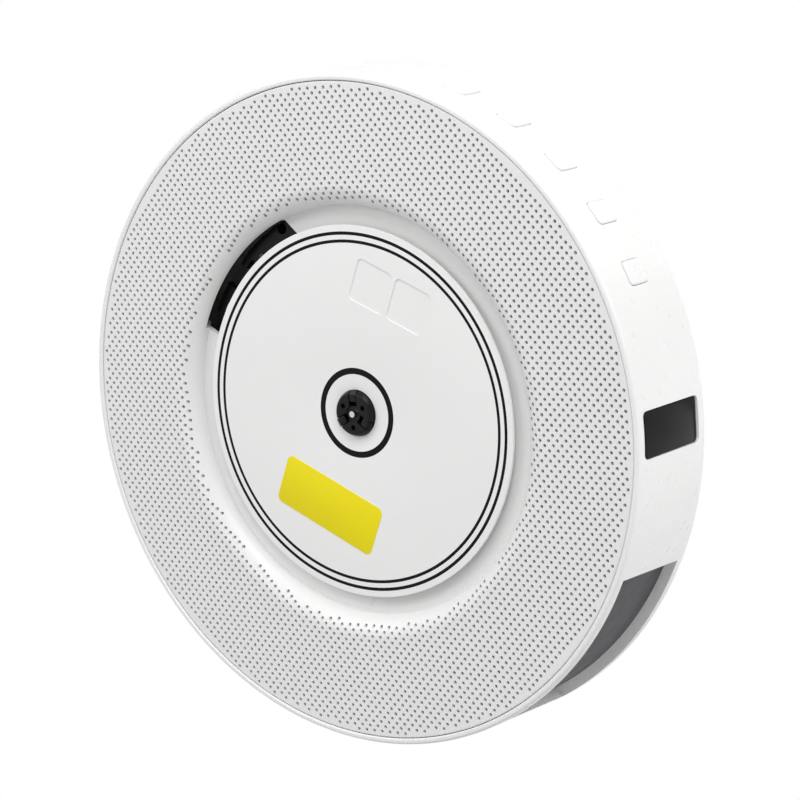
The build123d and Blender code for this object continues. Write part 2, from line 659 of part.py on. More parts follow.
def dc_inlet():
    pin = extrude(leftward(-INNER_RADIUS - 0.6, DC_Z) * Circle(1.0), -13.0)
    return jack(DC_Z, DC_BODY, 2.9, 15.0) + pin


def audio_jack():
    return jack(AUDIO_Z, AUDIO_BODY, 1.8, 16.0)


def board_screws():
    screws = Part()
    for x, z in board_screw_places():
        screws += puck(x, z, 2.6, BOARD_DEPTH - 1.2, BOARD_DEPTH) + puck(x, z, 0.95, BOARD_DEPTH, 31)
        screws -= block(x, z, 2.8, 0.6, BOARD_DEPTH - 2, BOARD_DEPTH - 0.7)
    return screws


# ---- every sub-part, by its node name ----
NODES = {
    "housing": housing,
    "front_grille": front_grille,
    "dust_screen": dust_screen,
    "disc_well": disc_well,
    "back_cover": back_cover,
    "wall_pads": wall_pads,
    "cover_screws": cover_screws,
    "turntable": turntable,
    "spindle_shaft": spindle_shaft,
    "transport_card": transport_card,
    "card_sticker": card_sticker,
    "mechanism_chassis": mechanism_chassis,
    "deck_rails": deck_rails,
    "dampers": dampers,
    "damper_screws": damper_screws,
    "guide_rods": guide_rods,
    "pickup_sled": pickup_sled,
    "sled_rack": sled_rack,
    "lens_holder": lens_holder,
    "lens_glass": lens_glass,
    "spindle_motor": spindle_motor,
    "sled_motor": sled_motor,
    "motor_pinion": motor_pinion,
    "idler_gear": idler_gear,
    "idler_axle": idler_axle,
    "speaker_gaskets": speaker_gaskets,
    "speaker_frames": speaker_frames,
    "speaker_surrounds": speaker_surrounds,
    "speaker_magnets": speaker_magnets,
    "tact_switches": tact_switches,
    "button_board": button_board,
    "button_carrier": button_carrier,
    "display_window": display_window,
    "display_bracket": display_bracket,
    "display_module": display_module,
    "stand_recess": stand_recess,
    "main_board": main_board,
    "board_parts": board_parts,
    "board_screws": board_screws,
    "dc_inlet": dc_inlet,
    "audio_jack": audio_jack,
}
for number in range(3):
    NODES[f"hub_claw_{number + 1}"] = lambda number=number: hub_claw(number)
for number in range(BUTTON_COUNT):
    NODES[f"button_cap_{number + 1}"] = lambda number=number: button_cap(number)
    NODES[f"switch_plunger_{number + 1}"] = lambda number=number: switch_plunger(number)
for number, side in enumerate(("right", "left")):
    NODES[f"speaker_cone_{side}"] = lambda number=number: speaker_cone(number)

os.makedirs("parts", exist_ok=True)
for name, make in NODES.items():
    export_step(make(), f"parts/{name}.step")
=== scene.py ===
"""The looks of a round, wall-hung disc player: its pieces, materials, light and camera."""

import json
from math import atan2, cos, degrees, hypot, pi, radians, sin, sqrt

import bmesh
import bpy
from mathutils import Matrix, Vector


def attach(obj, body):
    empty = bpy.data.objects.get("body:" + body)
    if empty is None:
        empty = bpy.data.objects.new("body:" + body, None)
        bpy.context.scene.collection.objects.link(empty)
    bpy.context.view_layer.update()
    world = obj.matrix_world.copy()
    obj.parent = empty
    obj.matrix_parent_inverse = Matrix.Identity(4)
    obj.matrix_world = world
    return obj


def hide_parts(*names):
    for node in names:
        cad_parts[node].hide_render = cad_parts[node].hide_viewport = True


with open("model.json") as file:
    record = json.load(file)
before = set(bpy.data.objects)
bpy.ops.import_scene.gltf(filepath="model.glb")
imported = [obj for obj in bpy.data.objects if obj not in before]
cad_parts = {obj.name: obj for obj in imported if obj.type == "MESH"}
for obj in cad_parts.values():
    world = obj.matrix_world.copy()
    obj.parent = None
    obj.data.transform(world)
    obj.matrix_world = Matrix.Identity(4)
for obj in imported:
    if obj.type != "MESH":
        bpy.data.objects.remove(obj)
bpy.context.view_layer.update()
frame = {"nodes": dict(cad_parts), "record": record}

# ---- sizes, in millimetres, as in the part: depth is counted from the front plane ----
MM = 0.001
DEPTH = 37.0
FRONT_RADIUS, REAR_RADIUS, REAR_RIM_DEPTH, INNER_RADIUS = 107.5, 108.6, 36.0, 105.0
GRILLE_RADIUS, GRILLE_DEPTH, GRILLE_WALL = 105.3, 0.3, 1.8
LIP_START, LIP_ROLL = 73.0, 7.0
WELL_DEPTH = 7.0
CARD_DEPTH, CARD_THICK, CARD_RADIUS, CARD_BORE = 4.2, 1.0, 60.0, 7.5
LIP_END_DEPTH = 5.3
HOLE_PITCH, HOLE_RADIUS = 2.215, 0.6
HOLE_SHIFT = (-0.06, -0.07)
HOLE_RING = (68.8, 103.9)
HOLES_EACH_WAY, HOLE_CUT = 95, 8.0
NOTCH_RADIUS, OPENING_RADIUS = 68.5, 72.0
FLOOR_THICK = 1.8
SEGMENTS = 384
SHARP_ANGLE = 32.0


def y_of(depth):
    return (depth - DEPTH) * MM


def place(x, depth, z):
    return Vector((x * MM, y_of(depth), z * MM))


def polar(radius, angle):
    return radius * cos(radians(angle)), radius * sin(radians(angle))


# ---- materials ----
def new_material(name, colour, roughness, metallic=0.0):
    made = bpy.data.materials.new(name)
    made.use_nodes = True
    shader = made.node_tree.nodes["Principled BSDF"]
    shader.inputs["Base Color"].default_value = (*colour, 1.0)
    shader.inputs["Roughness"].default_value = roughness
    shader.inputs["Metallic"].default_value = metallic
    return made, made.node_tree, shader


def object_noise(tree, scale, detail=3.0, rough=0.55):
    """Noise that is fixed to the piece, with scale in cycles per metre."""
    where = tree.nodes.new("ShaderNodeTexCoord")
    noise = tree.nodes.new("ShaderNodeTexNoise")
    noise.inputs["Scale"].default_value = scale
    noise.inputs["Detail"].default_value = detail
    noise.inputs["Roughness"].default_value = rough
    tree.links.new(where.outputs["Object"], noise.inputs["Vector"])
    return noise


def spread(tree, source, low, high, start=0.3, end=0.7):
    """A noise value turned into a range of numbers."""
    ranged = tree.nodes.new("ShaderNodeMapRange")
    for name, value in (("From Min", start), ("From Max", end), ("To Min", low), ("To Max", high)):
        ranged.inputs[name].default_value = value
    tree.links.new(source, ranged.inputs["Value"])
    return ranged.outputs["Result"]


def shaded(tree, source, colour, share):
    """The colour, darkened a little where the noise is low."""
    ramp = tree.nodes.new("ShaderNodeValToRGB")
    ramp.color_ramp.elements[0].position = 0.35
    ramp.color_ramp.elements[1].position = 0.65
    ramp.color_ramp.elements[0].color = (*[c * (1 - share) for c in colour], 1.0)
    ramp.color_ramp.elements[1].color = (*colour, 1.0)
    tree.links.new(source, ramp.inputs["Fac"])
    return ramp.outputs["Color"]


def moulded(name, colour, roughness, grain=2600.0, bump=0.02, tone=0.03, spread_by=0.05, coat=0.0,
            gloss=0.5):
    """Moulded plastic: a fine spark-eroded grain, slow changes of tone, uneven gloss."""
    made, tree, shader = new_material(name, colour, roughness)
    slow = object_noise(tree, 22.0)
    tree.links.new(shaded(tree, slow.outputs["Fac"], colour, tone), shader.inputs["Base Color"])
    cloud = object_noise(tree, 160.0)
    low, high = max(roughness - spread_by, 0.02), min(roughness + spread_by, 1.0)
    tree.links.new(spread(tree, cloud.outputs["Fac"], low, high), shader.inputs["Roughness"])
    fine = object_noise(tree, grain, detail=2.0)
    lumps = tree.nodes.new("ShaderNodeBump")
    lumps.inputs["Strength"].default_value = bump
    lumps.inputs["Distance"].default_value = 0.0002
    tree.links.new(fine.outputs["Fac"], lumps.inputs["Height"])
    tree.links.new(lumps.outputs["Normal"], shader.inputs["Normal"])
    shader.inputs["Specular IOR Level"].default_value = gloss
    if coat:
        shader.inputs["Coat Weight"].default_value = coat
        shader.inputs["Coat Roughness"].default_value = 0.05
    return made


def metal(name, colour, roughness, grain=700.0, stretch=(1.0, 1.0, 1.0), bump=0.05):
    """Plated or drawn metal: brush marks along one way and an uneven shine."""
    made, tree, shader = new_material(name, colour, roughness, metallic=1.0)
    where = tree.nodes.new("ShaderNodeTexCoord")
    scaled = tree.nodes.new("ShaderNodeMapping")
    scaled.inputs["Scale"].default_value = stretch
    marks = tree.nodes.new("ShaderNodeTexNoise")
    marks.inputs["Scale"].default_value = grain
    marks.inputs["Detail"].default_value = 4.0
    tree.links.new(where.outputs["Object"], scaled.inputs["Vector"])
    tree.links.new(scaled.outputs["Vector"], marks.inputs["Vector"])
    tree.links.new(spread(tree, marks.outputs["Fac"], roughness * 0.7, roughness * 1.4),
                   shader.inputs["Roughness"])
    tree.links.new(shaded(tree, marks.outputs["Fac"], colour, 0.12), shader.inputs["Base Color"])
    lumps = tree.nodes.new("ShaderNodeBump")
    lumps.inputs["Strength"].default_value = bump
    lumps.inputs["Distance"].default_value = 0.0001
    tree.links.new(marks.outputs["Fac"], lumps.inputs["Height"])
    tree.links.new(lumps.outputs["Normal"], shader.inputs["Normal"])
    return made


def glass(name, colour):
    made, tree, shader = new_material(name, colour, 0.03)
    shader.inputs["Transmission Weight"].default_value = 0.85
    shader.inputs["IOR"].default_value = 1.52
    film = object_noise(tree, 400.0)
    tree.links.new(shaded(tree, film.outputs["Fac"], colour, 0.1), shader.inputs["Base Color"])
    return made


def board(name, colour):
    """A circuit board: solder mask with paler tracks under it."""
    made, tree, shader = new_material(name, colour, 0.35)
    where = tree.nodes.new("ShaderNodeTexCoord")
    tracks = tree.nodes.new("ShaderNodeTexBrick")
    tracks.inputs["Scale"].default_value = 260.0
    tracks.inputs["Mortar Size"].default_value = 0.03
    tracks.inputs["Color1"].default_value = (*colour, 1.0)
    tracks.inputs["Color2"].default_value = (*[c * 0.8 for c in colour], 1.0)
    tracks.inputs["Mortar"].default_value = (*[min(c * 2.2, 1) for c in colour], 1.0)
    tree.links.new(where.outputs["Object"], tracks.inputs["Vector"])
    tree.links.new(tracks.outputs["Color"], shader.inputs["Base Color"])
    return made


WHITE = (0.83, 0.83, 0.825)
MATERIALS = {
    "shell_white": moulded("shell_white", WHITE, 0.28, grain=1800.0, bump=0.010, tone=0.012,
                           spread_by=0.01, coat=0.25),
    "grille_white": moulded("grille_white", (0.80, 0.80, 0.797), 0.42, bump=0.02, tone=0.012),
    "well_white": moulded("well_white", (0.82, 0.82, 0.815), 0.32, grain=1800.0, bump=0.012,
                          tone=0.012),
    "back_grey": moulded("back_grey", (0.52, 0.53, 0.54), 0.55, grain=1500.0, bump=0.12, tone=0.05),
    "black_plastic": moulded("black_plastic", (0.007, 0.007, 0.0085), 0.30, grain=1600.0, bump=0.05,
                             tone=0.2, gloss=0.16),
    "dark_grey": moulded("dark_grey", (0.082, 0.083, 0.088), 0.45, grain=2000.0, bump=0.03,
                         tone=0.06,
                         gloss=0.18),
    "smoked_acrylic": moulded("smoked_acrylic", (0.006, 0.006, 0.007), 0.08, bump=0.0, tone=0.1,
                              spread_by=0.02, gloss=0.12),
    "card_white": moulded("card_white", (0.85, 0.85, 0.845), 0.45, grain=900.0, bump=0.03,
                          tone=0.015),
    "sticker_yellow": moulded("sticker_yellow", (0.84, 0.71, 0.004), 0.5, grain=1200.0, bump=0.03,
                              tone=0.03,
                              gloss=0.3),
    "damper_yellow": moulded("damper_yellow", (0.72, 0.74, 0.01), 0.45, grain=1400.0, bump=0.05,
                             tone=0.06),
    "black_rubber": moulded("black_rubber", (0.010, 0.010, 0.010), 0.8, grain=1500.0, bump=0.15,
                            tone=0.2,
                            gloss=0.2),
    "steel": metal("steel", (0.62, 0.62, 0.64), 0.22, stretch=(6.0, 6.0, 0.4)),
    "zinc": metal("zinc", (0.58, 0.59, 0.60), 0.35),
    "black_steel": moulded("black_steel", (0.03, 0.03, 0.032), 0.4, bump=0.06, tone=0.2),
    "lens_glass": glass("lens_glass", (0.62, 0.70, 0.95)),
    "natural_acetal": moulded("natural_acetal", (0.72, 0.70, 0.62), 0.4, bump=0.03, tone=0.04),
    "brass": metal("brass", (0.78, 0.57, 0.24), 0.28),
    "board_green": board("board_green", (0.02, 0.13, 0.05)),
    "part_black": moulded("part_black", (0.03, 0.03, 0.034), 0.5, bump=0.1, tone=0.2),
    "cone_paper": moulded("cone_paper", (0.05, 0.05, 0.055), 0.85, grain=900.0, bump=0.4, tone=0.3),
    "foam_grey": moulded("foam_grey", (0.10, 0.10, 0.10), 0.95, grain=1400.0, bump=0.6, tone=0.3),
}
INK = moulded("ink_black", (0.006, 0.006, 0.006), 0.5, bump=0.02, tone=0.1, gloss=0.08)


# ---- mesh helpers ----
def rounded(points, steps=6):
    """A closed outline of (a, b) or (a, b, radius) corners, the second kind rounded."""
    made = []
    count = len(points)
    for i, point in enumerate(points):
        corner = Vector(point[:2])
        if len(point) < 3 or not point[2]:
            made.append(tuple(corner))
            continue
        before = (Vector(points[i - 1][:2]) - corner).normalized()
        after = (Vector(points[(i + 1) % count][:2]) - corner).normalized()
        half = before.angle(after) / 2
        reach = point[2] / max(abs(sin(half) / cos(half)), 1e-6)
        start, end = corner + before * reach, corner + after * reach
        centre = corner + (before + after).normalized() * (point[2] / sin(half))
        first, last = start - centre, end - centre
        turn = first.angle_signed(last)
        for k in range(steps + 1):
            made.append(tuple(centre + Matrix.Rotation(-turn * k / steps, 2) @ first))
    return made


def smoothed(mesh, angle=SHARP_ANGLE):
    """Shades the mesh smooth but for the edges that turn by more than the angle."""
    for polygon in mesh.polygons:
        polygon.use_smooth = True
    mesh.set_sharp_from_angle(angle=radians(angle))


def object_from(bm, name, slot):
    """A finished object at the origin; slot names a material slot, or is a material of its own."""
    bmesh.ops.recalc_face_normals(bm, faces=bm.faces)
    mesh = bpy.data.meshes.new(name)
    bm.to_mesh(mesh)
    bm.free()
    made = bpy.data.objects.new(name, mesh)
    bpy.context.scene.collection.objects.link(made)
    smoothed(mesh)
    mesh.materials.append(MATERIALS[slot] if isinstance(slot, str) else slot)
    return made


def applied(thing):
    """The object with its modifiers made real."""
    graph = bpy.context.evaluated_depsgraph_get()
    mesh = bpy.data.meshes.new_from_object(thing.evaluated_get(graph), depsgraph=graph)
    old = thing.data
    thing.modifiers.clear()
    thing.data = mesh
    if old.users == 0:
        bpy.data.meshes.remove(old)
    return thing


def skin(bm, rings):
    """Caps the first and the last ring, and joins the rings in turn."""
    bm.faces.new(rings[0])
    bm.faces.new(list(reversed(rings[-1])))
    for one, two in zip(rings, rings[1:]):
        for k in range(len(one)):
            bm.faces.new([one[k - 1], one[k], two[k], two[k - 1]])


def lathe(name, profile, slot, segments=SEGMENTS, closed=True):
    """A body of revolution about the unit's axis, from (radius, depth) points."""
    bm = bmesh.new()
    add_lathe(bm, profile, segments=segments, closed=closed)
    return object_from(bm, name, slot)


def add_lathe(bm, profile, centre=(0.0, 0.0), segments=64, closed=True):
    """Adds a body of revolution about a line along Y through the centre."""
    rings = []
    for radius, depth in profile:
        if radius < 1e-6:
            rings.append([bm.verts.new(place(centre[0], depth, centre[1]))] * segments)
            continue
        ring = []
        for k in range(segments):
            x, z = polar(radius, 360 * k / segments)
            ring.append(bm.verts.new(place(centre[0] + x, depth, centre[1] + z)))
        rings.append(ring)
    pairs = list(zip(rings, rings[1:]))
    if closed:
        pairs.append((rings[-1], rings[0]))
    for one, two in pairs:
        for k in range(segments):
            corners = [one[k - 1], one[k], two[k], two[k - 1]]
            unique = list(dict.fromkeys(corners))
            if len(unique) > 2:
                bm.faces.new(unique)


def prism(name, outlines, slot, edge=0.0, segments=3):
    """Closed (x, z) outlines, each with its near and far depth, with softened edges."""
    bm = bmesh.new()
    for points, near, far in outlines:
        add_prism(bm, points, near, far)
    made = object_from(bm, name, slot)
    return softened(made, edge, segments) if edge else made


def add_prism(bm, points, near, far):
    skin(bm, [[bm.verts.new(place(x, depth, z)) for x, z in points] for depth in (near, far)])


def softened(thing, edge, segments=3):
    bevel = thing.modifiers.new("edge", "BEVEL")
    bevel.width = edge * MM
    bevel.segments = segments
    bevel.limit_method = "ANGLE"
    bevel.angle_limit = radians(SHARP_ANGLE)
    bevel.use_clamp_overlap = True
    smoothed(applied(thing).data)
    return thing


def cut(thing, *cutters):
    """Takes the cutters out of the thing, and throws them away."""
    for cutter in cutters:
        taken = thing.modifiers.new("cut", "BOOLEAN")
        taken.operation = "DIFFERENCE"
        taken.solver = "MANIFOLD"
        taken.object = cutter
    applied(thing)
    for cutter in cutters:
        bpy.data.objects.remove(cutter)
    smoothed(thing.data)
    return thing


def true_shading(thing, facing):
    """Shades the faces that lie on a known surface as that surface, whatever their outlines.

    facing gives the surface's normal at a place on it, or None where the place isn't on it."""
    mesh = thing.data
    known = [facing(vertex.co) for vertex in mesh.vertices]
    normals = [(0.0, 0.0, 0.0)] * len(mesh.loops)
    for polygon in mesh.polygons:
        if all(known[index] for index in polygon.vertices):
            for loop in polygon.loop_indices:
                normals[loop] = known[mesh.loops[loop].vertex_index]
    mesh.normals_split_custom_set(normals)
    return thing


def round_rectangle(wide, tall, corner, steps=6, centre=(0.0, 0.0), turn=0.0):
    a, b = wide / 2, tall / 2
    points = rounded([(-a, -b, corner), (a, -b, corner), (a, b, corner), (-a, b, corner)], steps)
    c, s = cos(radians(turn)), sin(radians(turn))
    return [(centre[0] + c * x - s * z, centre[1] + s * x + c * z) for x, z in points]


def circle(radius, count=48, centre=(0.0, 0.0)):
    points = (polar(radius, 360 * k / count) for k in range(count))
    return [(centre[0] + x, centre[1] + z) for x, z in points]


# ---- the casing ----
def wall_radius(depth):
    return FRONT_RADIUS + (REAR_RADIUS - FRONT_RADIUS) * depth / REAR_RIM_DEPTH


def on_wall(angle, depth, along, across, out):
    """A place on the side wall: along is depth, across runs with the angle, out is outwards."""
    turned = angle + degrees(across / wall_radius(depth))
    x, z = polar(wall_radius(depth) + out, turned)
    return place(x, depth + along, z)


def wall_block(name, angle, depth, outline, low, high, slot):
    """An outline laid on the side wall, from one height over it to another."""
    bm = bmesh.new()
    skin(bm, [[bm.verts.new(on_wall(angle, depth, a, b, height)) for a, b in outline]
              for height in (low, high)])
    return object_from(bm, name, slot)


def soft_block(name, slot, angle, depth, size, corner, base, top, edge, crown=()):
    """A block on the side wall with a rounded top edge, then further (inset, height) steps."""
    long, tall = size
    levels = [(0.0, base), (0.0, top - edge)]
    levels += [(edge * (1 - cos(radians(a))), top - edge + edge * sin(radians(a)))
               for a in (30, 60, 90)]
    levels += crown
    bm = bmesh.new()
    rings = []
    for inset, height in levels:
        outline = round_rectangle(long - 2 * inset, tall - 2 * inset, max(corner - inset, 0.4), 5)
        rings.append([bm.verts.new(on_wall(angle, depth, a, b, height)) for a, b in outline])
    for one, two in zip(rings, rings[1:]):
        for k in range(len(one)):
            bm.faces.new([one[k - 1], one[k], two[k], two[k - 1]])
    bm.faces.new(rings[-1])
    bm.faces.new(list(reversed(rings[0])))
    return object_from(bm, name, slot)


WINDOW_ANGLE, WINDOW_SPAN, WINDOW_NEAR, WINDOW_FAR = -47.6, 7.7, 2.9, 32.3
WINDOW_MIDDLE = (WINDOW_NEAR + WINDOW_FAR) / 2
WINDOW_TALL = wall_radius(WINDOW_MIDDLE) * radians(WINDOW_SPAN)
BUTTON_PITCH, BUTTON_ROW, BUTTON_DEPTH = 10.87, -0.5, 17.7
BUTTON_WIDE, BUTTON_TALL, BUTTON_PROUD = 9.4, 7.8, 0.45
SEAT_HALF, SEAT_NEAR, SEAT_FAR = 33.2, 2.6, 32.6
JACK_DEPTH, JACK_REACH = 19.6, (96.0, 112.0)
DC_Z, DC_RADIUS, AUDIO_Z, AUDIO_RADIUS = 6.0, 4.4, -10.0, 3.2
WINDOW_GAP, BUTTON_GAP, PANEL_GAP = 0.12, 0.15, 0.2


def button_angle(index):
    return BUTTON_ROW + (index - 2) * BUTTON_PITCH


def wall_facing(co):
    """The side wall's normal, for a place on the cone that it is."""
    radius, depth = hypot(co.x, co.z) / MM, co.y / MM + DEPTH
    if not 0.9 < depth < 35.3 or abs(radius - wall_radius(depth)) > 0.012:
        return None
    lean = (REAR_RADIUS - FRONT_RADIUS) / REAR_RIM_DEPTH
    return Vector((co.x / MM / radius, -lean, co.z / MM / radius)).normalized()[:]


def build_housing():
    seat = GRILLE_RADIUS + PANEL_GAP
    profile = rounded([(seat, 2.2), (seat, 0.0, 0.45), (FRONT_RADIUS, 0.0, 1.05),
                       (REAR_RADIUS, REAR_RIM_DEPTH, 0.9), (INNER_RADIUS, REAR_RIM_DEPTH, 0.3),
                       (INNER_RADIUS, 2.2)], steps=8)
    housing = lathe("housing_shell", profile, "shell_white", segments=512)
    outline = round_rectangle(2 * SEAT_HALF, 40, 0.1, centre=(0, -108))
    cutters = [prism("cutter", [(outline, SEAT_NEAR, SEAT_FAR)], "shell_white")]
    long = WINDOW_FAR - WINDOW_NEAR
    outline = round_rectangle(long, WINDOW_TALL, 1.7)
    cutters.append(wall_block("cutter", WINDOW_ANGLE, WINDOW_MIDDLE, outline, -2.4, 3.0,
                              "shell_white"))
    for index in range(5):
        outline = round_rectangle(BUTTON_WIDE + 2 * BUTTON_GAP, BUTTON_TALL + 2 * BUTTON_GAP, 1.5)
        cutters.append(wall_block("cutter", button_angle(index), BUTTON_DEPTH, outline, -8.0, 3.0,
                                  "shell_white"))
    for z, radius in ((DC_Z, DC_RADIUS), (AUDIO_Z, AUDIO_RADIUS)):
        cutters.append(jack_bore(z, radius))
    return true_shading(cut(housing, *cutters), wall_facing)


def jack_bore(z, radius):
    """A cutter for a socket's round hole, to the left through the side wall."""
    bm = bmesh.new()
    skin(bm, [[bm.verts.new(place(-left, JACK_DEPTH + a, z + b)) for a, b in circle(radius)]
              for left in JACK_REACH])
    return object_from(bm, "cutter", "shell_white")


def grille_profile():
    """The panel's section: the flat, the rolled lip down to the floor of the well, and the back."""
    steps = 22
    near, far, inner = GRILLE_DEPTH, GRILLE_DEPTH + GRILLE_WALL, LIP_ROLL - GRILLE_WALL
    centre = GRILLE_DEPTH + LIP_ROLL
    points = rounded([(GRILLE_RADIUS, far), (GRILLE_RADIUS, near, 0.5), (LIP_START + 1, near)])[:-1]
    for k in range(steps + 1):
        turn = radians(90 * k / steps)
        depth = min(centre - LIP_ROLL * cos(turn), WELL_DEPTH)
        points.append((LIP_START - LIP_ROLL * sin(turn), depth))
    for k in range(steps, -1, -2):
        turn = radians(90 * k / steps)
        depth = min(centre - inner * cos(turn), WELL_DEPTH)
        points.append((LIP_START - inner * sin(turn), depth))
    return points


def perforation_tree():
    """Holes on a square grid, taken out of a panel where they lie between two radii."""
    tree = bpy.data.node_groups.new("perforations", "GeometryNodeTree")
    sockets = tree.interface
    sockets.new_socket("Geometry", in_out="INPUT", socket_type="NodeSocketGeometry")
    for name in ("Pitch", "Hole radius", "Inner radius", "Outer radius", "Depth of cut"):
        sockets.new_socket(name, in_out="INPUT", socket_type="NodeSocketFloat")
    sockets.new_socket("Shift", in_out="INPUT", socket_type="NodeSocketVector")
    sockets.new_socket("Holes each way", in_out="INPUT", socket_type="NodeSocketInt")
    sockets.new_socket("Material", in_out="INPUT", socket_type="NodeSocketMaterial")
    sockets.new_socket("Geometry", in_out="OUTPUT", socket_type="NodeSocketGeometry")
    nodes, link = tree.nodes, tree.links.new
    given, result = nodes.new("NodeGroupInput"), nodes.new("NodeGroupOutput")

    steps = nodes.new("ShaderNodeMath")
    steps.operation = "SUBTRACT"
    steps.inputs[1].default_value = 1.0
    link(given.outputs["Holes each way"], steps.inputs[0])
    width = nodes.new("ShaderNodeMath")
    width.operation = "MULTIPLY"
    link(steps.outputs[0], width.inputs[0])
    link(given.outputs["Pitch"], width.inputs[1])
    grid = nodes.new("GeometryNodeMeshGrid")
    for name in ("Size X", "Size Y"):
        link(width.outputs[0], grid.inputs[name])
    for name in ("Vertices X", "Vertices Y"):
        link(given.outputs["Holes each way"], grid.inputs[name])
    upright = nodes.new("GeometryNodeTransform")
    upright.inputs["Rotation"].default_value = (pi / 2, 0.0, 0.0)
    link(grid.outputs["Mesh"], upright.inputs["Geometry"])
    link(given.outputs["Shift"], upright.inputs["Translation"])

    where = nodes.new("GeometryNodeInputPosition")
    flat = nodes.new("ShaderNodeVectorMath")
    flat.operation = "MULTIPLY"
    flat.inputs[1].default_value = (1.0, 0.0, 1.0)
    link(where.outputs[0], flat.inputs[0])
    reach = nodes.new("ShaderNodeVectorMath")
    reach.operation = "LENGTH"
    link(flat.outputs[0], reach.inputs[0])
    inside = nodes.new("FunctionNodeCompare")
    inside.operation = "GREATER_THAN"
    link(reach.outputs["Value"], inside.inputs[0])
    link(given.outputs["Inner radius"], inside.inputs[1])
    outside = nodes.new("FunctionNodeCompare")
    outside.operation = "LESS_THAN"
    link(reach.outputs["Value"], outside.inputs[0])
    link(given.outputs["Outer radius"], outside.inputs[1])
    both = nodes.new("FunctionNodeBooleanMath")
    link(inside.outputs[0], both.inputs[0])
    link(outside.outputs[0], both.inputs[1])

    drill = nodes.new("GeometryNodeMeshCylinder")
    drill.inputs["Vertices"].default_value = 10
    link(given.outputs["Hole radius"], drill.inputs["Radius"])
    link(given.outputs["Depth of cut"], drill.inputs["Depth"])
    laid = nodes.new("GeometryNodeTransform")
    laid.inputs["Rotation"].default_value = (pi / 2, 0.0, 0.0)
    link(drill.outputs["Mesh"], laid.inputs["Geometry"])
    drills = nodes.new("GeometryNodeInstanceOnPoints")
    link(upright.outputs["Geometry"], drills.inputs["Points"])
    link(both.outputs[0], drills.inputs["Selection"])
    link(laid.outputs["Geometry"], drills.inputs["Instance"])
    real = nodes.new("GeometryNodeRealizeInstances")
    link(drills.outputs["Instances"], real.inputs["Geometry"])

    holes = nodes.new("GeometryNodeMeshBoolean")
    holes.operation = "DIFFERENCE"
    holes.solver = "MANIFOLD"
    link(given.outputs["Geometry"], holes.inputs["Mesh 1"])
    link(real.outputs["Geometry"], holes.inputs["Mesh 2"])

    # the hidden back of the panel is left open, against the dark screen behind it
    facing = nodes.new("GeometryNodeInputNormal")
    parts = nodes.new("ShaderNodeSeparateXYZ")
    link(facing.outputs[0], parts.inputs[0])
    backward = nodes.new("FunctionNodeCompare")
    backward.operation = "GREATER_THAN"
    backward.inputs[1].default_value = 0.2
    link(parts.outputs["Y"], backward.inputs[0])
    opened = nodes.new("GeometryNodeDeleteGeometry")
    opened.domain = "FACE"
    link(holes.outputs["Mesh"], opened.inputs["Geometry"])
    link(backward.outputs[0], opened.inputs["Selection"])

    whole = nodes.new("GeometryNodeRealizeInstances")
    dressed = nodes.new("GeometryNodeSetMaterial")
    link(opened.outputs["Geometry"], whole.inputs["Geometry"])
    link(whole.outputs["Geometry"], dressed.inputs["Geometry"])
    link(given.outputs["Material"], dressed.inputs["Material"])
    link(dressed.outputs["Geometry"], result.inputs["Geometry"])
    return tree


def run_tree(thing, tree, **values):
    """Gives the object the tree's result as its plain mesh."""
    modifier = thing.modifiers.new(tree.name, "NODES")
    modifier.node_group = tree
    sockets = {s.name: s.identifier for s in tree.interface.items_tree if s.in_out == "INPUT"}
    for name, value in values.items():
        modifier[sockets[name.replace("_", " ")]] = value
    smoothed(applied(thing).data, 30.0)
    return thing


def panel_facing(co):
    """The panel's normal, for a place on its flat or on the roll of its lip."""
    radius, depth = hypot(co.x, co.z) / MM, co.y / MM + DEPTH
    if LIP_START <= radius < GRILLE_RADIUS - 0.45 and abs(depth - GRILLE_DEPTH) < 0.01:
        return (0.0, -1.0, 0.0)
    in_by, up_by = LIP_START - radius, GRILLE_DEPTH + LIP_ROLL - depth
    if in_by <= 0 or abs(hypot(in_by, up_by) - LIP_ROLL) > 0.02:
        return None
    return (-co.x / MM / radius * in_by / LIP_ROLL, -up_by / LIP_ROLL,
            -co.z / MM / radius * in_by / LIP_ROLL)


def build_grille():
    grille = lathe("grille_panel", grille_profile(), "grille_white")
    # over the pickup, the lip stops short of the floor
    cut(grille, prism("cutter", [(pickup_outline(NOTCH_RADIUS), LIP_END_DEPTH, WELL_DEPTH + 1)],
                      "grille_white"))
    run_tree(grille, perforation_tree(), Pitch=HOLE_PITCH * MM, Hole_radius=HOLE_RADIUS * MM,
             Inner_radius=HOLE_RING[0] * MM, Outer_radius=HOLE_RING[1] * MM,
             Depth_of_cut=HOLE_CUT * MM,
             Shift=(HOLE_SHIFT[0] * MM, y_of(2.2), HOLE_SHIFT[1] * MM),
             Holes_each_way=HOLES_EACH_WAY,
             Material=MATERIALS["grille_white"])
    return true_shading(grille, panel_facing)


def pickup_outline(outer):
    """The opening over the spindle and the pickup, out to the given radius."""
    right, low = 27.2, 22.5
    start = atan2(sqrt(outer ** 2 - right ** 2), right)
    end = radians(110.5)
    points = [(right, 6.0)]
    points += [polar(outer, degrees(start + (end - start) * k / 48)) for k in range(49)]
    points += [(polar(34.0, 110.5)[0] - 4, polar(34.0, 110.5)[1] - 4)]
    first, last = atan2(6.0, -21.69), atan2(-13.0, 18.37) + 2 * pi
    points += [(low * cos(first + (last - first) * k / 40),
                low * sin(first + (last - first) * k / 40))
               for k in range(41)]
    return points


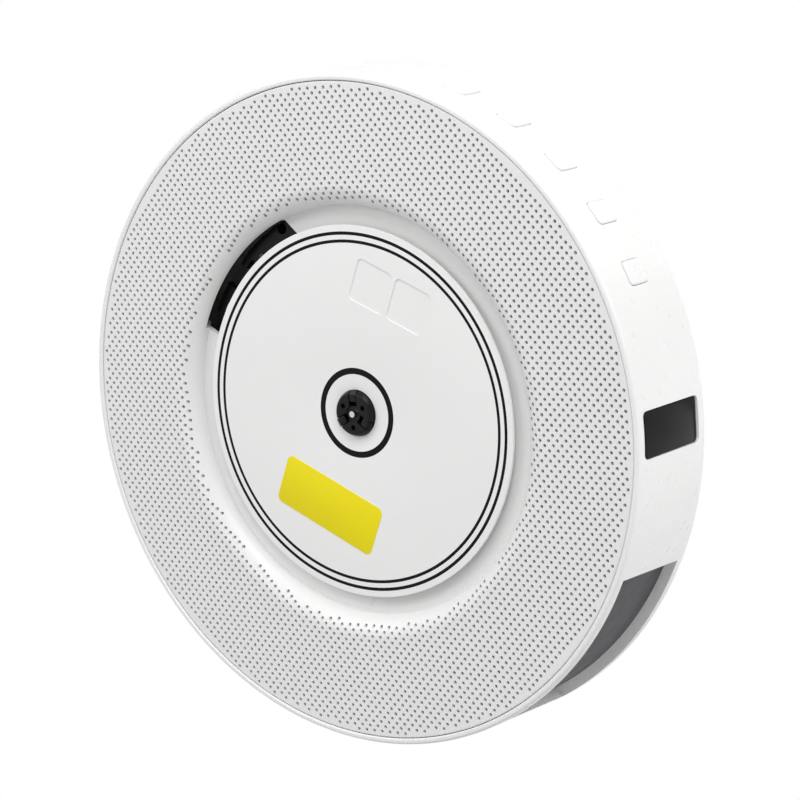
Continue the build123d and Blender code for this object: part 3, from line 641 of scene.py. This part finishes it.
def build_well():
    profile = rounded([(0.0, WELL_DEPTH), (71.0, WELL_DEPTH), (71.0, WELL_DEPTH + 4.0, 0.3),
                       (69.0, WELL_DEPTH + 4.0, 0.3), (69.0, WELL_DEPTH + FLOOR_THICK),
                       (0.0, WELL_DEPTH + FLOOR_THICK)])
    well = lathe("well_floor", profile, "well_white", closed=False)
    cutter = prism("cutter", [(pickup_outline(OPENING_RADIUS), WELL_DEPTH - 2, WELL_DEPTH + 6)],
                   "well_white")
    return cut(well, cutter)


def build_recess():
    """The dark floor of the stand recess: a curved plate behind the opening."""
    half, count = degrees(SEAT_HALF / INNER_RADIUS) + 1.2, 64
    section = rounded([(INNER_RADIUS - 1.8, SEAT_NEAR, 0.2), (INNER_RADIUS, SEAT_NEAR, 0.2),
                       (INNER_RADIUS, 33.4, 0.2), (INNER_RADIUS - 1.8, 33.4, 0.2)], steps=3)
    bm = bmesh.new()
    rows = []
    for k in range(count + 1):
        angle = -90 - half + 2 * half * k / count
        places = [(polar(radius, angle), depth) for radius, depth in section]
        rows.append([bm.verts.new(place(x, depth, z)) for (x, z), depth in places])
    skin(bm, rows)
    return object_from(bm, "recess_floor", "dark_grey")


# ---- the controls ----
def build_button(index):
    """A cap with a soft edge and a slight crown, on the round wall."""
    crown = [(1.2, BUTTON_PROUD + 0.02), (2.6, BUTTON_PROUD + 0.04)]
    return soft_block(f"button_{index + 1}_face", "shell_white", button_angle(index), BUTTON_DEPTH,
                      (BUTTON_WIDE, BUTTON_TALL), 1.4, -5.0, BUTTON_PROUD, 0.35, crown)


def build_window():
    """The display's dark window, just under the face of the wall."""
    size = (WINDOW_FAR - WINDOW_NEAR - 2 * WINDOW_GAP, WINDOW_TALL - 2 * WINDOW_GAP)
    return soft_block("display_lens", "smoked_acrylic", WINDOW_ANGLE, WINDOW_MIDDLE, size,
                      1.6, -2.0, -0.15, 0.3)


# ---- the disc drive ----
PRESSED_PLACE, PRESSED_TURN = Vector((38.6, 13.8)), -70.0
PRESSED_LONG, PRESSED_WIDE, PRESSED_RIB = 29.4, 14.1, 1.5


def build_card():
    """The card, with two shallow pressed panes side by side."""
    profile = rounded([(CARD_BORE, CARD_DEPTH, 0.12), (CARD_RADIUS, CARD_DEPTH, 0.15),
                       (CARD_RADIUS, CARD_DEPTH + CARD_THICK, 0.1),
                       (CARD_BORE, CARD_DEPTH + CARD_THICK, 0.1)])
    card = lathe("card_blank", profile, "card_white", segments=256)
    pane = (PRESSED_LONG - PRESSED_RIB) / 2
    cutters = []
    for side in (-1, 1):
        centre = PRESSED_PLACE + Vector(polar(side * (pane + PRESSED_RIB) / 2, PRESSED_TURN))
        outline = round_rectangle(pane, PRESSED_WIDE, 1.7, 8, centre, PRESSED_TURN)
        cutters.append(prism("cutter", [(outline, CARD_DEPTH - 1, CARD_DEPTH + 0.3)], "card_white"))
    return cut(card, *cutters)


RINGS = ((57.4, 1.05), (54.9, 1.0), (13.53, 2.0))


def build_print():
    """Printed rings, a hair above the card, each with its middle radius and its width."""
    bm = bmesh.new()
    for middle, width in RINGS:
        low, high = middle - width / 2, middle + width / 2
        top, under = CARD_DEPTH - 0.015, CARD_DEPTH + 0.05
        add_lathe(bm, [(low, top), (high, top), (high, under), (low, under)], segments=256)
    return object_from(bm, "card_rings", INK)


STICKER_PLACE, STICKER_TURN = (-32.15, -10.8), -70.8
STICKER_LONG, STICKER_WIDE = 40.2, 16.9


def build_sticker():
    outline = round_rectangle(STICKER_LONG, STICKER_WIDE, 2.2, 8, STICKER_PLACE, STICKER_TURN)
    return prism("card_patch", [(outline, CARD_DEPTH - 0.1, CARD_DEPTH + 0.05)], "sticker_yellow",
                 edge=0.03,
                 segments=2)


def claw_angle(index):
    return 40 + 120 * index


def build_turntable():
    seat = CARD_DEPTH + CARD_THICK + 0.1
    profile = rounded([(1.02, 12.0), (1.02, 2.9, 0.2), (2.5, 2.75, 0.1), (2.7, 2.25, 0.15),
                       (6.3, 2.1, 0.3),
                       (6.75, 2.35, 0.25), (7.35, 3.3, 0.4), (7.35, seat, 0.2), (15.4, seat, 0.3),
                       (15.4, seat + 1.0, 0.2), (14.8, seat + 1.6, 0.2), (8.4, seat + 1.6),
                       (8.4, 8.4, 0.2),
                       (5.0, 8.4), (5.0, 9.6, 0.2)])
    hub = lathe("platter_and_hub", profile, "black_plastic", segments=128)
    cutters = []
    for index in range(3):
        angle = claw_angle(index)
        x, z = polar(5.6, angle)
        outline = round_rectangle(6.2, 3.1, 0.3, 3, (x, z), angle)
        cutters.append(prism("cutter", [(outline, 1.0, seat - 0.2)], "black_plastic"))
        x, z = polar(4.45, angle + 60)
        cutters.append(prism("cutter", [(circle(0.85, 24, (x, z)), 1.0, 3.6)], "black_plastic"))
    return cut(hub, *cutters)


def build_claw(index):
    angle = claw_angle(index)
    outline = rounded([(3.9, 2.45, 0.15), (6.2, 2.2, 0.4), (7.43, 2.9, 0.25), (7.43, 3.6, 0.15),
                       (6.9, 4.1, 0.1),
                       (6.9, 4.7), (3.9, 4.7)], steps=4)
    bm = bmesh.new()
    c, s = cos(radians(angle)), sin(radians(angle))
    skin(bm, [[bm.verts.new(place(c * r - s * across, depth, s * r + c * across))
               for r, depth in outline] for across in (-1.3, 1.3)])
    return softened(object_from(bm, f"claw_{index + 1}_tip", "black_plastic"), 0.12)


DAMPERS = ((-12.0, 57.0, 9.2), (27.0, -26.0, 12.2), (-27.0, -26.0, 12.2))


def build_dampers():
    bm = bmesh.new()
    for x, z, deck in DAMPERS:
        profile = rounded([(1.4, deck - 1.8, 0.2), (4.3, deck - 1.8, 0.9), (4.4, deck, 0.2),
                           (3.2, deck, 0.1),
                           (3.2, deck + 1.8, 0.1), (4.4, deck + 1.8, 0.2), (4.4, deck + 3.4, 0.5),
                           (1.4, deck + 3.4, 0.2)])
        add_lathe(bm, profile, (x, z), 64)
    return object_from(bm, "damper_bushes", "damper_yellow")


# ---- put the pieces on their bodies ----
def put(piece, body, *nodes):
    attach(piece, body)
    if nodes:
        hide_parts(*nodes)
    return piece


put(build_housing(), "housing", "housing")
put(build_grille(), "housing", "front_grille")
put(build_well(), "housing", "disc_well")
put(build_recess(), "housing", "stand_recess")
put(build_window(), "housing", "display_window")
put(build_dampers(), "housing", "dampers")
for number in range(5):
    put(build_button(number), f"button_{number + 1}", f"button_cap_{number + 1}")
put(build_card(), "card", "transport_card")
put(build_print(), "card")
put(build_sticker(), "card", "card_sticker")
put(build_turntable(), "turntable", "turntable")
for number in range(3):
    put(build_claw(number), f"claw_{number + 1}", f"hub_claw_{number + 1}")

slot_of = {part["node"]: part["material_slot"] for part in frame["record"]["subparts"]}
for name, thing in frame["nodes"].items():
    thing.data.materials.clear()
    thing.data.materials.append(MATERIALS[slot_of[name]])

# ---- studio ----
CAMERA_PLACE = (0.46448, -0.68327, -0.27591)
CAMERA_RIGHT = Vector((0.49173, 0.59836, -0.63259))
CAMERA_UP = Vector((0.68459, 0.18328, 0.70551))
CAMERA_BACK = Vector((0.53809, -0.77999, -0.31951))
LENS = 120.1
SKY, LAMP_REACH = 0.4, 1.6


def add_camera():
    data = bpy.data.cameras.new("camera")
    data.lens = LENS
    data.sensor_width = 36.0
    data.clip_start, data.clip_end = 0.05, 20.0
    camera = bpy.data.objects.new("camera", data)
    bpy.context.scene.collection.objects.link(camera)
    turn = Matrix((CAMERA_RIGHT, CAMERA_UP, CAMERA_BACK)).transposed()
    camera.matrix_world = Matrix.Translation(CAMERA_PLACE) @ turn.to_4x4()
    bpy.context.scene.camera = camera


def add_lamp(name, direction, power):
    """A soft round lamp, a metre across, that faces the unit from that direction."""
    data = bpy.data.lights.new(name, "AREA")
    data.shape = "DISK"
    data.size = 1.0
    data.energy = power
    lamp = bpy.data.objects.new(name, data)
    bpy.context.scene.collection.objects.link(lamp)
    way = direction.normalized()
    lamp.location = Vector((0.0, -0.02, 0.0)) + way * LAMP_REACH
    lamp.rotation_mode = "QUATERNION"
    lamp.rotation_quaternion = way.to_track_quat("Z", "Y")
    lamp.visible_camera = False
    return lamp


def white_to_the_eye(tree, lit, output):
    """White for the camera, glass and gloss; the given shader for all other light."""
    path = tree.nodes.new("ShaderNodeLightPath")
    seen = path.outputs["Is Camera Ray"]
    for kind in ("Is Glossy Ray", "Is Transmission Ray"):
        either = tree.nodes.new("ShaderNodeMath")
        either.operation = "MAXIMUM"
        tree.links.new(seen, either.inputs[0])
        tree.links.new(path.outputs[kind], either.inputs[1])
        seen = either.outputs[0]
    white = tree.nodes.new("ShaderNodeEmission")
    pick = tree.nodes.new("ShaderNodeMixShader")
    tree.links.new(seen, pick.inputs["Fac"])
    tree.links.new(lit, pick.inputs[1])
    tree.links.new(white.outputs[0], pick.inputs[2])
    tree.links.new(pick.outputs[0], output)


def add_world():
    world = bpy.data.worlds.new("studio")
    world.use_nodes = True
    bpy.context.scene.world = world
    tree = world.node_tree
    tree.nodes.clear()
    sky = tree.nodes.new("ShaderNodeBackground")
    sky.inputs["Color"].default_value = (1.0, 1.0, 1.0, 1.0)
    sky.inputs["Strength"].default_value = SKY
    out = tree.nodes.new("ShaderNodeOutputWorld")
    white_to_the_eye(tree, sky.outputs[0], out.inputs["Surface"])


def add_floor():
    """A plain pale floor, well below the wall unit."""
    bm = bmesh.new()
    for x, y in ((-4, -4), (4, -4), (4, 4), (-4, 4)):
        bm.verts.new((x, y, -0.75))
    bm.faces.new(bm.verts)
    mesh = bpy.data.meshes.new("floor")
    bm.to_mesh(mesh)
    bm.free()
    floor = bpy.data.objects.new("floor", mesh)
    bpy.context.scene.collection.objects.link(floor)
    made, _, _ = new_material("floor", (0.9, 0.9, 0.9), 0.9)
    mesh.materials.append(made)


add_camera()
add_world()
add_floor()
add_lamp("key_lamp", CAMERA_UP + CAMERA_BACK, 15.0)
add_lamp("left_lamp", CAMERA_UP * 0.48 - CAMERA_RIGHT * 0.84 + CAMERA_BACK * 0.26, 8.8)
add_lamp("right_lamp", CAMERA_UP * 0.48 + CAMERA_RIGHT * 0.84 + CAMERA_BACK * 0.26, 4.8)
add_lamp("rear_lamp", Vector((0.0, 1.0, 0.0)), 12.0).visible_glossy = False
bpy.context.scene.view_settings.view_transform = "Standard"
